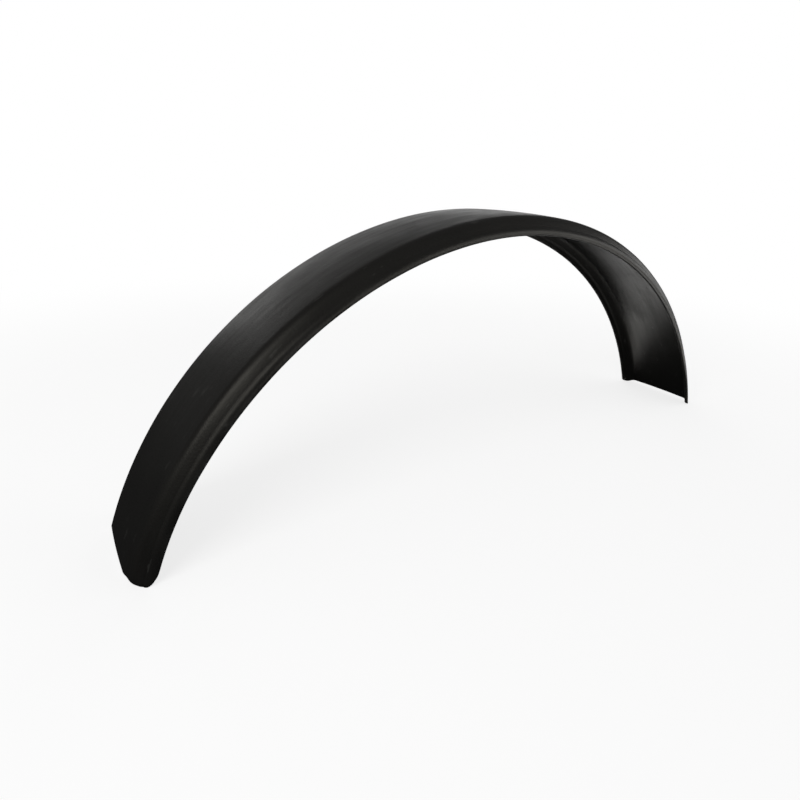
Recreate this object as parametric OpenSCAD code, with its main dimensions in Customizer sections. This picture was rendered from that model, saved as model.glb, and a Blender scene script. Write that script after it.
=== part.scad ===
// Bicycle mudguard blade for a 20 inch wheel, standing on the corners of its two ends.
// Z is up, X runs along the blade and Y across it. The wheel axis is parallel to Y.

/* [Blade] */
// Radius from the wheel axis to the two lip edges
lip_radius = 265; // [240:1:300]
// Angle of the arc from one end to the other
sweep_angle = 139.5; // [90:1:170]
// Width over the two lips
blade_w = 75; // [66:0.5:90]
// Thickness of the moulded wall
wall = 2; // [1.6:0.1:2.4]

/* [Crown and flanks] */
// Width of each flank in plan, from the lip's side to the shoulder corner
flank_w = 7; // [5:0.1:9]
// Height of the shoulder corners over the lip edges, along the radius
shoulder_h = 11.9; // [10.5:0.1:15]
// Rise of the crown's middle over the shoulder corners
crown_rise = 0.8; // [0.4:0.1:4]
// Outer rounding of the shoulders
shoulder_r = 5; // [3:0.1:6]
// Swell of each flank over the straight line from shoulder to crease
flank_swell = 0.6; // [0.4:0.1:0.8]

/* [Lip] */
// Height of the crease over the lip edges
crease_h = 6.6; // [6:0.1:7.2]
// Distance of the crease inside the lip's side
crease_inset = 1.5; // [1.3:0.1:1.7]
// Rounding of the crease's hollow
crease_r = 0.5; // [0.3:0.1:1]
// Height at which the lip band is widest
lip_band_h = 1.8; // [1.6:0.1:2.6]

/* [Ends] */
// Rounding of the four lip corners, seen from the side
corner_r = 7; // [2:0.5:9]

/* [Output] */
// Node that is drawn, or all of them

/* [Hidden] */
$fn = 180;
crown_steps = 8;
curve_steps = 5;
end_angle = 90 - sweep_angle / 2;
corner_overlap = 0.03;

// Section points are [height over the lip edge, distance from the middle plane]
shoulder = [shoulder_h, blade_w / 2 - flank_w];
crease = [crease_h, blade_w / 2 - crease_inset];

// Circle of the crown, through its middle and the shoulder corner
crown_r = (pow(shoulder.y, 2) + pow(crown_rise, 2)) / (2 * crown_rise);
crown_c = [shoulder_h + crown_rise - crown_r, 0];

// Circle of the flank, through the shoulder corner and the crease
flank_line = crease - shoulder;
flank_r = (pow(norm(flank_line) / 2, 2) + pow(flank_swell, 2)) / (2 * flank_swell);
flank_out = [flank_line.y, -flank_line.x] / norm(flank_line);
flank_c = (shoulder + crease) / 2 - (flank_r - flank_swell) * flank_out;

// Circle of the lip band, through the crease and upright where it is widest
band_r = (pow(crease_inset, 2) + pow(crease_h - lip_band_h, 2)) / (2 * crease_inset);
band_c = [lip_band_h, blade_w / 2 - band_r];

// Circles that round the shoulder from inside and the crease from outside
shoulder_c = circles_meet(crown_c, crown_r - shoulder_r, flank_c, flank_r - shoulder_r);
crease_c = circles_meet(band_c, band_r + crease_r, flank_c, flank_r + crease_r);

// Circle of the lip's full round edge, in the middle of the wall
edge_turn = acos((wall / 2 - lip_band_h) / (band_r - wall / 2));
edge_c = band_c + (band_r - wall / 2) * [cos(edge_turn), sin(edge_turn)];

// Crossing point of two circles, on the left of the way from the first centre to the second
function circles_meet(a, ra, b, rb) =
    let(
        gap = norm(b - a),
        along = (pow(gap, 2) + pow(ra, 2) - pow(rb, 2)) / (2 * gap),
        aside = sqrt(pow(ra, 2) - pow(along, 2)),
        dir = (b - a) / gap
    )
    a + along * dir + aside * [-dir.y, dir.x];

// Direction from a centre to a point, measured from the height axis
function bearing(centre, point) = atan2(point.y - centre.y, point.x - centre.x);

// Points of an arc between two bearings
function arc(centre, radius, from, to, steps) =
    [for (i = [0:steps])
        let(a = from + (to - from) * i / steps)
        centre + radius * [cos(a), sin(a)]];

// One half of the skin from the crown's middle to the lip's edge, at a depth inside the outer face
function skin(depth) =
    let(
        crown_end = bearing(crown_c, shoulder_c),
        flank_start = bearing(flank_c, shoulder_c),
        flank_end = bearing(flank_c, crease_c),
        band_start = bearing(band_c, crease_c)
    )
    concat(
        arc(crown_c, crown_r - depth, 0, crown_end, crown_steps),
        arc(shoulder_c, shoulder_r - depth, crown_end, flank_start, curve_steps),
        arc(flank_c, flank_r - depth, flank_start, flank_end, curve_steps),
        arc(crease_c, crease_r + depth, flank_end + 180, band_start + 180, curve_steps),
        arc(band_c, band_r - depth, band_start, edge_turn, curve_steps)
    );

function edge() = arc(edge_c, wall / 2, edge_turn, edge_turn + 180, curve_steps);
function reversed(points) = [for (i = [len(points) - 1:-1:0]) points[i]];
function without_doubles(points) =
    [for (i = [0:len(points) - 1]) if (i == 0 || norm(points[i] - points[max(i - 1, 0)]) > 0.001) points[i]];
function half_outline() = without_doubles(concat(skin(0), edge(), reversed(skin(wall))));

// The other half, without the two points in the middle plane
function mirrored(points) = [for (i = [len(points) - 2:-1:1]) [points[i].x, -points[i].y]];

module section() {
    polygon(concat(half_outline(), mirrored(half_outline())));
}

// What the rounded lip corners of one end take off, in the side view
// The circle crosses the end face and the lip a little, so that neither is only touched
module corner_waste() {
    centre_r = lip_radius + corner_r - corner_overlap;
    inset_angle = asin((corner_r - corner_overlap) / centre_r);
    centre = centre_r * [cos(inset_angle), sin(inset_angle)];
    below = lip_radius - corner_r;
    rotate(end_angle)
        difference() {
            polygon([
                [below, -corner_r],
                [centre.x, -corner_r],
                centre,
                below * [cos(inset_angle), sin(inset_angle)]
            ]);
            translate(centre)
                circle(corner_r);
        }
}

module end_corners() {
    translate([0, 0, -blade_w])
        linear_extrude(2 * blade_w) {
            corner_waste();
            mirror([1, 0])
                corner_waste();
        }
}

// Height of a rounded lip corner's lowest point over the wheel axis
function corner_low() =
    sqrt(pow(lip_radius + corner_r, 2) - pow(corner_r, 2)) * sin(end_angle)
    + corner_r * (cos(end_angle) - 1);

module mudguard_blade() {
    color([0.03, 0.03, 0.03])
        translate([0, 0, -corner_low()])
            rotate([90, 0, 0])
                difference() {
                    rotate(end_angle)
                        rotate_extrude(angle = sweep_angle)
                            translate([lip_radius, 0])
                                section();
                    end_corners();
                }
}

mudguard_blade();
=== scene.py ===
"""Looks of the bicycle mudguard blade: one moulded strip of satin black plastic on a pale floor."""

import math

import bmesh
import bpy
from mathutils import Matrix, Quaternion, Vector, noise


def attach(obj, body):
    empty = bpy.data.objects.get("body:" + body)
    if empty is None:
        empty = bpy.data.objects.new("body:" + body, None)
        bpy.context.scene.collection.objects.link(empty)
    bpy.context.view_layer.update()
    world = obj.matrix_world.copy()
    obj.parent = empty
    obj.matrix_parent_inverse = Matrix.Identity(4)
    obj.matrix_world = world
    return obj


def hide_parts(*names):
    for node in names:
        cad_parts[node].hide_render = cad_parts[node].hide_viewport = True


NODE = "mudguard_blade"

# Sizes of the blade, in metres and degrees, as in the CAD source
# The width is 0.01 mm less, to stay inside the solid's facets
# The shoulder, the flank's swell, the crease and the lip are drawn finer, within 1.3 mm of it
LIP_RADIUS = 0.265
SWEEP = 139.5
BLADE_W = 0.07499
WALL = 0.002
FLANK_W = 0.007
SHOULDER_H = 0.0119
CROWN_RISE = 0.0008
SHOULDER_R = 0.007
FLANK_SWELL = 0.0002
CREASE_H = 0.0058
CREASE_INSET = 0.0024
CREASE_R = 0.0004
LIP_BAND_H = 0.0018
LIP_EDGE_H = 0.0009
CORNER_R = 0.007
END_ANGLE = 90 - SWEEP / 2

# Fineness of the mesh
CROWN_STEPS = 16
CURVE_STEPS = 8
EDGE_STEPS = 4
STATION_STEP = 0.5
JOIN_DISTANCE = 1e-6

# Rounding of the cut edges at both ends, and the most of the wall that it may take
EDGE_SOFTNESS = 0.0002
EDGE_SHARE = 1 / 3
EDGE_STATIONS = 3

# The front end: longer rounding of its lip corners, and droop of its lips and its near shoulder
FRONT_CORNER_STRETCH = 1.8
LIP_DROOP = 0.0016
LIP_DROOP_LENGTH = 0.07
SHOULDER_DROOP = 0.0018
SHOULDER_DROOP_LENGTH = 0.035
SHOULDER_DROOP_WIDTH = 0.009

# Slow waves of the skin: noise cells per radian and per metre, faded out near the ends in radians
WAVE_DEPTH = 0.00015
WAVES_ALONG = 9.0
WAVES_ACROSS = 25.0
WAVE_FADE = 0.12

# Span that most values of a noise field lie in
NOISE_MIDDLE = (0.3, 0.7)

# Noise in the plastic: scales are per metre, and stretches for the strip's length, width and side
GRAIN_SCALE = 900.0
GRAIN_DETAIL = 2.0
GRAIN_STRETCH = (1.0, 1.0, 1.0)
GRAIN_DEPTH = 0.00008
STREAK_SCALE = 260.0
STREAK_DETAIL = 3.0
STREAK_STRETCH = (0.07, 1.0, 1.0)
STREAK_DEPTH = 0.000025
MOTTLE_SCALE = 55.0
MOTTLE_DETAIL = 4.0
MOTTLE_STRETCH = (0.6, 1.0, 1.0)
MOTTLE_DEPTH = 0.0003
SCUFF_SCALE = 160.0
SCUFF_DETAIL = 6.0
SCUFF_STRETCH = (0.35, 1.0, 1.0)
SCUFF_LIMITS = (0.64, 0.7)

# Tones and gloss of the plastic, and the painted highlight along its lips, by distance from the middle
DARK_TONE = (0.014, 0.0136, 0.0128, 1)
BROWN_TONE = (0.024, 0.0232, 0.0215, 1)
GREY_TONE = (0.027, 0.027, 0.0265, 1)
GREY_SHARE = 0.5
# Lighter tone for the real scuffs and for the painted highlight along the lips
SCUFF_AND_HIGHLIGHT_TONE = (0.06, 0.06, 0.057, 1)
WARM_GLOSS = (1.0, 0.96, 0.86, 1)
PLASTIC_IOR = 1.5
ROUGH_LOW = 0.35
ROUGH_HIGH = 0.42
ROUGH_STREAKS = 0.03
ROUGH_MARKS = 0.1
LIP_HIGHLIGHT_SPAN = (0.0395, 0.046)
LIP_HIGHLIGHT_PATCHES = (0.4, 0.65)

# Camera: the offsets are from the wheel axis, in metres
VIEW_TURN = 32.75
VIEW_RISE = 24.27
VIEW_LEAN = 1.89
STAND_BACK = 1.8199 * LIP_RADIUS
AIM_RIGHT = 0.2023 * LIP_RADIUS
AIM_UP = -0.4725 * LIP_RADIUS
SENSOR = 36.0
PICTURE_WIDTH = 800
FOCAL_PIXELS = 544.2
LENS = FOCAL_PIXELS / PICTURE_WIDTH * SENSOR

# Light and floor
WHITE = (1, 1, 1, 1)
SKY_LEVEL = 0.11
SOFTBOX_AIM = (0.0, 0.0, 0.1)
PAPER_TONE = 0.8
PAPER_LIFT = 0.75
GROUND_TONE = 0.08
FLOOR_SIZE = 24.0
SHADOW_WHOLE = 0.36
SHADOW_REACH = 0.9
BOUNCE_LIFT = 0.003


def corner_low():
    """Height of a rounded lip corner's lowest point over the wheel axis."""
    end = math.radians(END_ANGLE)
    out = math.sqrt((LIP_RADIUS + CORNER_R) ** 2 - CORNER_R**2)
    return out * math.sin(end) + CORNER_R * (math.cos(end) - 1)


AXIS_Z = -corner_low()


def circle_through(a, b, swell):
    """Centre and radius of the circle through two points that swells out between them."""
    chord = b - a
    radius = ((chord.length / 2) ** 2 + swell**2) / (2 * swell)
    out = Vector((chord.y, -chord.x)).normalized()
    return (a + b) / 2 - (radius - swell) * out, radius


def circles_meet(a, ra, b, rb):
    """Crossing point of two circles, on the left of the way from the first to the second."""
    gap = (b - a).length
    along = (gap**2 + ra**2 - rb**2) / (2 * gap)
    aside = math.sqrt(ra**2 - along**2)
    way = (b - a) / gap
    return a + along * way + aside * Vector((-way.y, way.x))


def bearing(centre, point):
    return math.atan2(point.y - centre.y, point.x - centre.x)


def arc(centre, radius, start, end, steps):
    turns = [start + (end - start) * i / steps for i in range(steps + 1)]
    return [centre + radius * Vector((math.cos(t), math.sin(t))) for t in turns]


def skin(depth):
    """One half at a depth inside the outer face, from the crown's middle round the lip's edge."""
    shoulder = Vector((SHOULDER_H, BLADE_W / 2 - FLANK_W))
    crease = Vector((CREASE_H, BLADE_W / 2 - CREASE_INSET))
    crown_r = (shoulder.y**2 + CROWN_RISE**2) / (2 * CROWN_RISE)
    crown_c = Vector((SHOULDER_H + CROWN_RISE - crown_r, 0))
    flank_c, flank_r = circle_through(shoulder, crease, FLANK_SWELL)
    band_r = (CREASE_INSET**2 + (CREASE_H - LIP_BAND_H) ** 2) / (2 * CREASE_INSET)
    band_c = Vector((LIP_BAND_H, BLADE_W / 2 - band_r))
    shoulder_c = circles_meet(crown_c, crown_r - SHOULDER_R, flank_c, flank_r - SHOULDER_R)
    crease_c = circles_meet(band_c, band_r + CREASE_R, flank_c, flank_r + CREASE_R)
    crown_end = bearing(crown_c, shoulder_c)
    flank_start = bearing(flank_c, shoulder_c)
    flank_end = bearing(flank_c, crease_c)
    band_start = bearing(band_c, crease_c)
    edge_c = Vector((LIP_EDGE_H, BLADE_W / 2 - WALL / 2))
    quarter = math.copysign(math.pi / 2, WALL / 2 - depth)
    edge_from = math.pi / 2 if depth == 0 else 3 * math.pi / 2
    hollow = (flank_end + math.pi, band_start + math.pi)
    points = arc(crown_c, crown_r - depth, 0, crown_end, CROWN_STEPS)
    points += arc(shoulder_c, SHOULDER_R - depth, crown_end, flank_start, CURVE_STEPS)[1:]
    points += arc(flank_c, flank_r - depth, flank_start, flank_end, CURVE_STEPS)[1:]
    points += arc(crease_c, CREASE_R + depth, *hollow, CURVE_STEPS)[1:]
    points += arc(band_c, band_r - depth, band_start, math.pi / 2, CURVE_STEPS)[1:]
    points += arc(edge_c, WALL / 2, edge_from, edge_from + quarter, EDGE_STEPS)[1:]
    return points


def section_pairs():
    """Outer and inner points of the section, face to face, from one lip to the other."""
    pairs = list(zip(skin(0), skin(WALL)))
    near = [tuple(Vector((p.x, -p.y)) for p in pair) for pair in pairs[1:]]
    return pairs[:0:-1] + [pairs[0]] + near


def corner_cut(radius):
    """Angle that a rounded lip corner takes off the blade's end, at a radius."""
    centre_r = LIP_RADIUS + CORNER_R
    centre_turn = math.asin(CORNER_R / centre_r)
    if radius >= centre_r * math.cos(centre_turn):
        return 0.0
    cos_gap = (radius**2 + centre_r**2 - CORNER_R**2) / (2 * radius * centre_r)
    return centre_turn - math.acos(min(1.0, cos_gap))


def droop(height, across, to_front):
    """How far the front end's lips and its near shoulder hang in towards the wheel."""
    low = max(0.0, 1 - height / SHOULDER_H)
    lips = LIP_DROOP * low * max(0.0, 1 - to_front / LIP_DROOP_LENGTH) ** 2
    from_shoulder = (across + BLADE_W / 2 - FLANK_W) / SHOULDER_DROOP_WIDTH
    beside = max(0.0, 1 - from_shoulder**2)
    near = max(0.0, 1 - to_front / SHOULDER_DROOP_LENGTH)
    return lips + SHOULDER_DROOP * (1 - low) * beside * near**2


def waviness(turn, across):
    """How far the skin lies inside its true face: the slow waves of a thin moulding."""
    ends = min(turn - math.radians(END_ANGLE), math.pi - math.radians(END_ANGLE) - turn)
    fade = min(1.0, max(0.0, ends / WAVE_FADE))
    place = Vector((turn * WAVES_ALONG, across * WAVES_ACROSS, 0))
    return WAVE_DEPTH * fade * (1 + noise.noise(place)) / 2


def stations():
    """Shares of the way from the rear end to the front end, with a rounded cut edge at both."""
    length = math.radians(SWEEP) * LIP_RADIUS
    count = round(SWEEP / STATION_STEP)
    quarter = [math.pi / 2 * (1 - i / EDGE_STATIONS) for i in range(EDGE_STATIONS + 1)]
    gaps = [(EDGE_SOFTNESS * (1 - math.sin(a)), EDGE_SOFTNESS * (1 - math.cos(a))) for a in quarter]
    first = [(gap / length, inset) for gap, inset in gaps]
    body = [(i / count, 0.0) for i in range(1, count)]
    last = [(1 - share, inset) for share, inset in reversed(first)]
    return first + body + last


def blade_point(point, opposite, share, inset):
    """Place of a section point at a station, and its angle round the wheel axis."""
    inward = opposite - point
    point = point + inward.normalized() * min(inset, EDGE_SHARE * inward.length)
    radius = LIP_RADIUS + point.x
    end = math.radians(END_ANGLE)
    start = end + corner_cut(radius)
    stop = math.pi - end - FRONT_CORNER_STRETCH * corner_cut(radius)
    turn = start + (stop - start) * share
    to_front = (math.pi - end - turn) * LIP_RADIUS
    radius -= waviness(turn, point.y) + droop(point.x, point.y, to_front)
    # The drooping lip doesn't go below the floor that the blade stands on
    height = max(0.0, AXIS_Z + radius * math.sin(turn))
    return (radius * math.cos(turn), point.y, height), turn


def join_rings(bm, rings, pair_count):
    """Faces along the strip from ring to ring, and across the wall at its two ends."""
    count = len(rings[0])
    for low, high in zip(rings, rings[1:]):
        for k in range(count):
            n = (k + 1) % count
            bm.faces.new((low[k], low[n], high[n], high[k]))
    for verts in (rings[0], rings[-1]):
        for k in range(pair_count - 1):
            bm.faces.new((verts[k], verts[k + 1], verts[count - 2 - k], verts[count - 1 - k]))


def build_blade():
    """The whole blade as one closed strip of quads, swept round the wheel axis."""
    pairs = section_pairs()
    ring = [(pair, 0) for pair in pairs] + [(pair, 1) for pair in reversed(pairs)]
    path = [0.0]
    for (a, _), (b, _) in zip(pairs, pairs[1:]):
        path.append(path[-1] + (b - a).length)
    middle = path[-1] / 2
    bm = bmesh.new()
    place = bm.verts.layers.float_vector.new("strip")
    rings = []
    for share, inset in stations():
        verts = []
        for k, (pair, side) in enumerate(ring):
            spot, turn = blade_point(pair[side], pair[1 - side], share, inset)
            vert = bm.verts.new(spot)
            across = path[k if side == 0 else len(ring) - 1 - k] - middle
            vert[place] = Vector((turn * LIP_RADIUS, across, side))
            verts.append(vert)
        rings.append(verts)
    join_rings(bm, rings, len(pairs))
    bmesh.ops.remove_doubles(bm, verts=bm.verts, dist=JOIN_DISTANCE)
    bmesh.ops.recalc_face_normals(bm, faces=bm.faces)
    for face in bm.faces:
        face.smooth = True
    mesh = bpy.data.meshes.new("blade_skin")
    bm.to_mesh(mesh)
    bm.free()
    piece = bpy.data.objects.new("blade_skin", mesh)
    bpy.context.collection.objects.link(piece)
    return piece


def node_tree(name):
    """A new node material with its tree emptied, apart from the output."""
    material = bpy.data.materials.new(name)
    material.use_nodes = True
    tree = material.node_tree
    tree.nodes.clear()
    return material, tree, tree.nodes.new("ShaderNodeOutputMaterial")


def noise_field(tree, place, scale, detail, stretch):
    """Noise over the strip's own length and width, with features 1 / scale metres wide."""
    spread = tree.nodes.new("ShaderNodeVectorMath")
    spread.operation = "MULTIPLY"
    spread.inputs[1].default_value = stretch
    field = tree.nodes.new("ShaderNodeTexNoise")
    field.inputs["Scale"].default_value = scale
    field.inputs["Detail"].default_value = detail
    tree.links.new(place, spread.inputs[0])
    tree.links.new(spread.outputs[0], field.inputs["Vector"])
    return field.outputs["Fac"]


def ramp(tree, value, start, stop, low=0.0, high=1.0):
    """A value that goes smoothly from low to high while the given one goes from start to stop."""
    span = tree.nodes.new("ShaderNodeMapRange")
    span.interpolation_type = "SMOOTHSTEP"
    span.inputs["From Min"].default_value = start
    span.inputs["From Max"].default_value = stop
    span.inputs["To Min"].default_value = low
    span.inputs["To Max"].default_value = high
    tree.links.new(value, span.inputs["Value"])
    return span.outputs["Result"]


def combine(tree, operation, a, b):
    """The sum, product or other result of two values, each one a number or a node's output."""
    node = tree.nodes.new("ShaderNodeMath")
    node.operation = operation
    for value, socket in ((a, node.inputs[0]), (b, node.inputs[1])):
        if isinstance(value, float):
            socket.default_value = value
        else:
            tree.links.new(value, socket)
    return node.outputs[0]


def blend(tree, share, first, second):
    """A colour between two, each one a plain colour or a node's output."""
    mix = tree.nodes.new("ShaderNodeMix")
    mix.data_type = "RGBA"
    sockets = [socket for socket in mix.inputs if socket.type == "RGBA"]
    for colour, socket in zip((first, second), sockets):
        if isinstance(colour, tuple):
            socket.default_value = colour
        else:
            tree.links.new(colour, socket)
    tree.links.new(share, mix.inputs["Factor"])
    return next(socket for socket in mix.outputs if socket.type == "RGBA")


def bump(tree, height, depth, before=None):
    """A normal that a height field tilts, on top of an earlier one where that is given."""
    node = tree.nodes.new("ShaderNodeBump")
    node.inputs["Strength"].default_value = 1.0
    node.inputs["Distance"].default_value = depth
    tree.links.new(height, node.inputs["Height"])
    if before is not None:
        tree.links.new(before, node.inputs["Normal"])
    return node.outputs["Normal"]


def blade_plastic():
    """Satin black moulded plastic: fine grain, drawn streaks, soft mottling, scuffs, and a painted
    highlight in patches along the lips.
    """
    material, tree, output = node_tree("blade_plastic")
    strip = tree.nodes.new("ShaderNodeAttribute")
    strip.attribute_name = "strip"
    place = strip.outputs["Vector"]
    axes = tree.nodes.new("ShaderNodeSeparateXYZ")
    tree.links.new(place, axes.inputs[0])
    grain = noise_field(tree, place, GRAIN_SCALE, GRAIN_DETAIL, GRAIN_STRETCH)
    streaks = noise_field(tree, place, STREAK_SCALE, STREAK_DETAIL, STREAK_STRETCH)
    mottle = noise_field(tree, place, MOTTLE_SCALE, MOTTLE_DETAIL, MOTTLE_STRETCH)
    scuffs = noise_field(tree, place, SCUFF_SCALE, SCUFF_DETAIL, SCUFF_STRETCH)

    across = tree.nodes.new("ShaderNodeMath")
    across.operation = "ABSOLUTE"
    tree.links.new(axes.outputs["Y"], across.inputs[0])
    # The lighter patches along both lips are a painted highlight of their lit edges; the scuffs are
    # real marks
    lip_highlight_band = ramp(tree, across.outputs[0], *LIP_HIGHLIGHT_SPAN)
    lip_highlight = combine(tree, "MULTIPLY", lip_highlight_band, ramp(tree, mottle, *LIP_HIGHLIGHT_PATCHES))
    scuffs_and_highlight = combine(tree, "MAXIMUM", lip_highlight, ramp(tree, scuffs, *SCUFF_LIMITS))

    tone = blend(tree, mottle, DARK_TONE, BROWN_TONE)
    tone = blend(tree, ramp(tree, grain, *NOISE_MIDDLE, 0.0, GREY_SHARE), tone, GREY_TONE)
    # The lighter tone goes on the real scuffs and on the painted lip highlight
    tone = blend(tree, scuffs_and_highlight, tone, SCUFF_AND_HIGHLIGHT_TONE)
    rough = ramp(tree, mottle, *NOISE_MIDDLE, ROUGH_LOW, ROUGH_HIGH)
    drawn = ramp(tree, streaks, *NOISE_MIDDLE, -ROUGH_STREAKS, ROUGH_STREAKS)
    rough = combine(tree, "ADD", rough, drawn)
    rough = combine(tree, "ADD", rough, combine(tree, "MULTIPLY", scuffs_and_highlight, ROUGH_MARKS))

    normal = bump(tree, mottle, MOTTLE_DEPTH)
    normal = bump(tree, streaks, STREAK_DEPTH, normal)
    normal = bump(tree, grain, GRAIN_DEPTH, normal)
    shader = tree.nodes.new("ShaderNodeBsdfPrincipled")
    shader.inputs["IOR"].default_value = PLASTIC_IOR
    shader.inputs["Specular Tint"].default_value = WARM_GLOSS
    tree.links.new(tone, shader.inputs["Base Color"])
    tree.links.new(rough, shader.inputs["Roughness"])
    tree.links.new(normal, shader.inputs["Normal"])
    tree.links.new(shader.outputs["BSDF"], output.inputs["Surface"])
    return material


def pale_floor():
    """White paper with the object's soft shadow to the camera, and a dull ground to the object."""
    material, tree, output = node_tree("pale_floor")
    paper = tree.nodes.new("ShaderNodeBsdfDiffuse")
    paper.inputs["Color"].default_value = (PAPER_TONE, PAPER_TONE, PAPER_TONE, 1)
    lift = tree.nodes.new("ShaderNodeEmission")
    lift.inputs["Strength"].default_value = PAPER_LIFT
    near = tree.nodes.new("ShaderNodeAddShader")
    far = tree.nodes.new("ShaderNodeEmission")
    ground = tree.nodes.new("ShaderNodeBsdfDiffuse")
    ground.inputs["Color"].default_value = (GROUND_TONE, GROUND_TONE, GROUND_TONE, 1)
    place = tree.nodes.new("ShaderNodeTexCoord")
    distance = tree.nodes.new("ShaderNodeVectorMath")
    distance.operation = "LENGTH"
    reach = tree.nodes.new("ShaderNodeMapRange")
    reach.interpolation_type = "SMOOTHSTEP"
    reach.inputs["From Min"].default_value = SHADOW_WHOLE
    reach.inputs["From Max"].default_value = SHADOW_REACH
    fade = tree.nodes.new("ShaderNodeMixShader")
    rays = tree.nodes.new("ShaderNodeLightPath")
    seen = tree.nodes.new("ShaderNodeMixShader")
    tree.links.new(paper.outputs[0], near.inputs[0])
    tree.links.new(lift.outputs[0], near.inputs[1])
    tree.links.new(place.outputs["Object"], distance.inputs[0])
    tree.links.new(distance.outputs["Value"], reach.inputs["Value"])
    tree.links.new(reach.outputs["Result"], fade.inputs["Fac"])
    tree.links.new(near.outputs[0], fade.inputs[1])
    tree.links.new(far.outputs[0], fade.inputs[2])
    tree.links.new(rays.outputs["Is Camera Ray"], seen.inputs["Fac"])
    tree.links.new(ground.outputs[0], seen.inputs[1])
    tree.links.new(fade.outputs[0], seen.inputs[2])
    tree.links.new(seen.outputs[0], output.inputs["Surface"])
    return material


def add_floor():
    bpy.ops.mesh.primitive_plane_add(size=FLOOR_SIZE)
    floor = bpy.context.object
    floor.name = "floor"
    floor.data.materials.append(pale_floor())


def light_world():
    """White to the camera, and a plain grey sky to everything else."""
    world = bpy.data.worlds.new("studio")
    bpy.context.scene.world = world
    world.use_nodes = True
    tree = world.node_tree
    tree.nodes.clear()
    output = tree.nodes.new("ShaderNodeOutputWorld")
    rays = tree.nodes.new("ShaderNodeLightPath")
    sky = tree.nodes.new("ShaderNodeBackground")
    sky.inputs["Strength"].default_value = SKY_LEVEL
    white = tree.nodes.new("ShaderNodeBackground")
    mix = tree.nodes.new("ShaderNodeMixShader")
    tree.links.new(rays.outputs["Is Camera Ray"], mix.inputs["Fac"])
    tree.links.new(sky.outputs[0], mix.inputs[1])
    tree.links.new(white.outputs[0], mix.inputs[2])
    tree.links.new(mix.outputs[0], output.inputs["Surface"])
    for source in (sky, white):
        source.inputs["Color"].default_value = WHITE


def area_lamp(name, size, power):
    """A rectangular lamp that lights the object and isn't in the picture itself."""
    data = bpy.data.lights.new(name, "AREA")
    data.shape = "RECTANGLE"
    data.size, data.size_y = size
    data.energy = power
    lamp = bpy.data.objects.new(name, data)
    bpy.context.collection.objects.link(lamp)
    lamp.visible_camera = False
    return lamp


def add_softbox(name, turn, rise, distance, size, power, roll=0):
    """A soft lamp in a direction from the object, in degrees: the turn is from +Y towards +X."""
    flat = math.cos(math.radians(rise)) * distance
    way = Vector((
        flat * math.sin(math.radians(turn)),
        flat * math.cos(math.radians(turn)),
        distance * math.sin(math.radians(rise)),
    ))
    lamp = area_lamp(name, size, power)
    lamp.location = Vector(SOFTBOX_AIM) + way
    aimed = (-way).to_track_quat("-Z", "Y") @ Quaternion((0, 0, 1), math.radians(roll))
    lamp.rotation_euler = aimed.to_euler()


def add_bounce(name, place, turn, size, power):
    """Light that comes up from the paper, for the faces that look down."""
    lamp = area_lamp(name, size, power)
    lamp.location = (*place, BOUNCE_LIFT)
    lamp.rotation_euler = (math.pi, 0, math.radians(turn))


def add_camera():
    """The photograph's view: close by, from the front left and above, with a wide lens."""
    turn, rise = math.radians(VIEW_TURN), math.radians(VIEW_RISE)
    ahead = Vector((math.sin(turn) * math.cos(rise), math.cos(turn) * math.cos(rise), -math.sin(rise)))
    right = Vector((math.cos(turn), -math.sin(turn), 0))
    up = right.cross(ahead)
    axis_to_eye = -(AIM_RIGHT * right + AIM_UP * up + STAND_BACK * ahead)
    data = bpy.data.cameras.new("camera")
    data.sensor_width = SENSOR
    data.lens = LENS
    camera = bpy.data.objects.new("camera", data)
    bpy.context.collection.objects.link(camera)
    frame_of_view = Matrix((right, up, -ahead)).transposed().to_4x4()
    frame_of_view.translation = axis_to_eye
    lean = Matrix.Rotation(-math.radians(VIEW_LEAN), 4, "Y")
    camera.matrix_world = Matrix.Translation((0, 0, AXIS_Z)) @ lean @ frame_of_view
    bpy.context.scene.camera = camera


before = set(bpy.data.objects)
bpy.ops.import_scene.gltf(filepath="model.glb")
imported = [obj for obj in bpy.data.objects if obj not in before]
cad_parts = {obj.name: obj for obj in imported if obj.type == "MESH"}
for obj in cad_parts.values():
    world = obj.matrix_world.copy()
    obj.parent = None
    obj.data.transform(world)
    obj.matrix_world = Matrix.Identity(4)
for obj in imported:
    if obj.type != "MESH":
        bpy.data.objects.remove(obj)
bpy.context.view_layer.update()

blade = build_blade()
blade.data.materials.append(blade_plastic())
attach(blade, "root")
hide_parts(NODE)

add_floor()
light_world()
add_softbox("key_softbox", turn=-118, rise=32, distance=1.4, size=(0.85, 0.6), power=3.0)
add_softbox("back_softbox", turn=23, rise=12, distance=1.5, size=(2.3, 0.5), power=4.0, roll=7)
add_softbox("low_softbox", turn=120, rise=8, distance=1.5, size=(2.2, 0.5), power=4.5)
add_bounce("inner_bounce", place=(0.28, 0.082), turn=-22, size=(0.115, 0.11), power=0.076)
add_bounce("under_bounce", place=(0.13, -0.02), turn=0, size=(0.16, 0.09), power=0.009)
add_bounce("front_bounce", place=(0.3, -0.65), turn=0, size=(0.9, 0.5), power=2.2)
add_bounce("side_bounce", place=(0.5, -0.2), turn=0, size=(0.35, 0.25), power=0.6)
add_camera()

bpy.context.scene.view_settings.view_transform = "Standard"
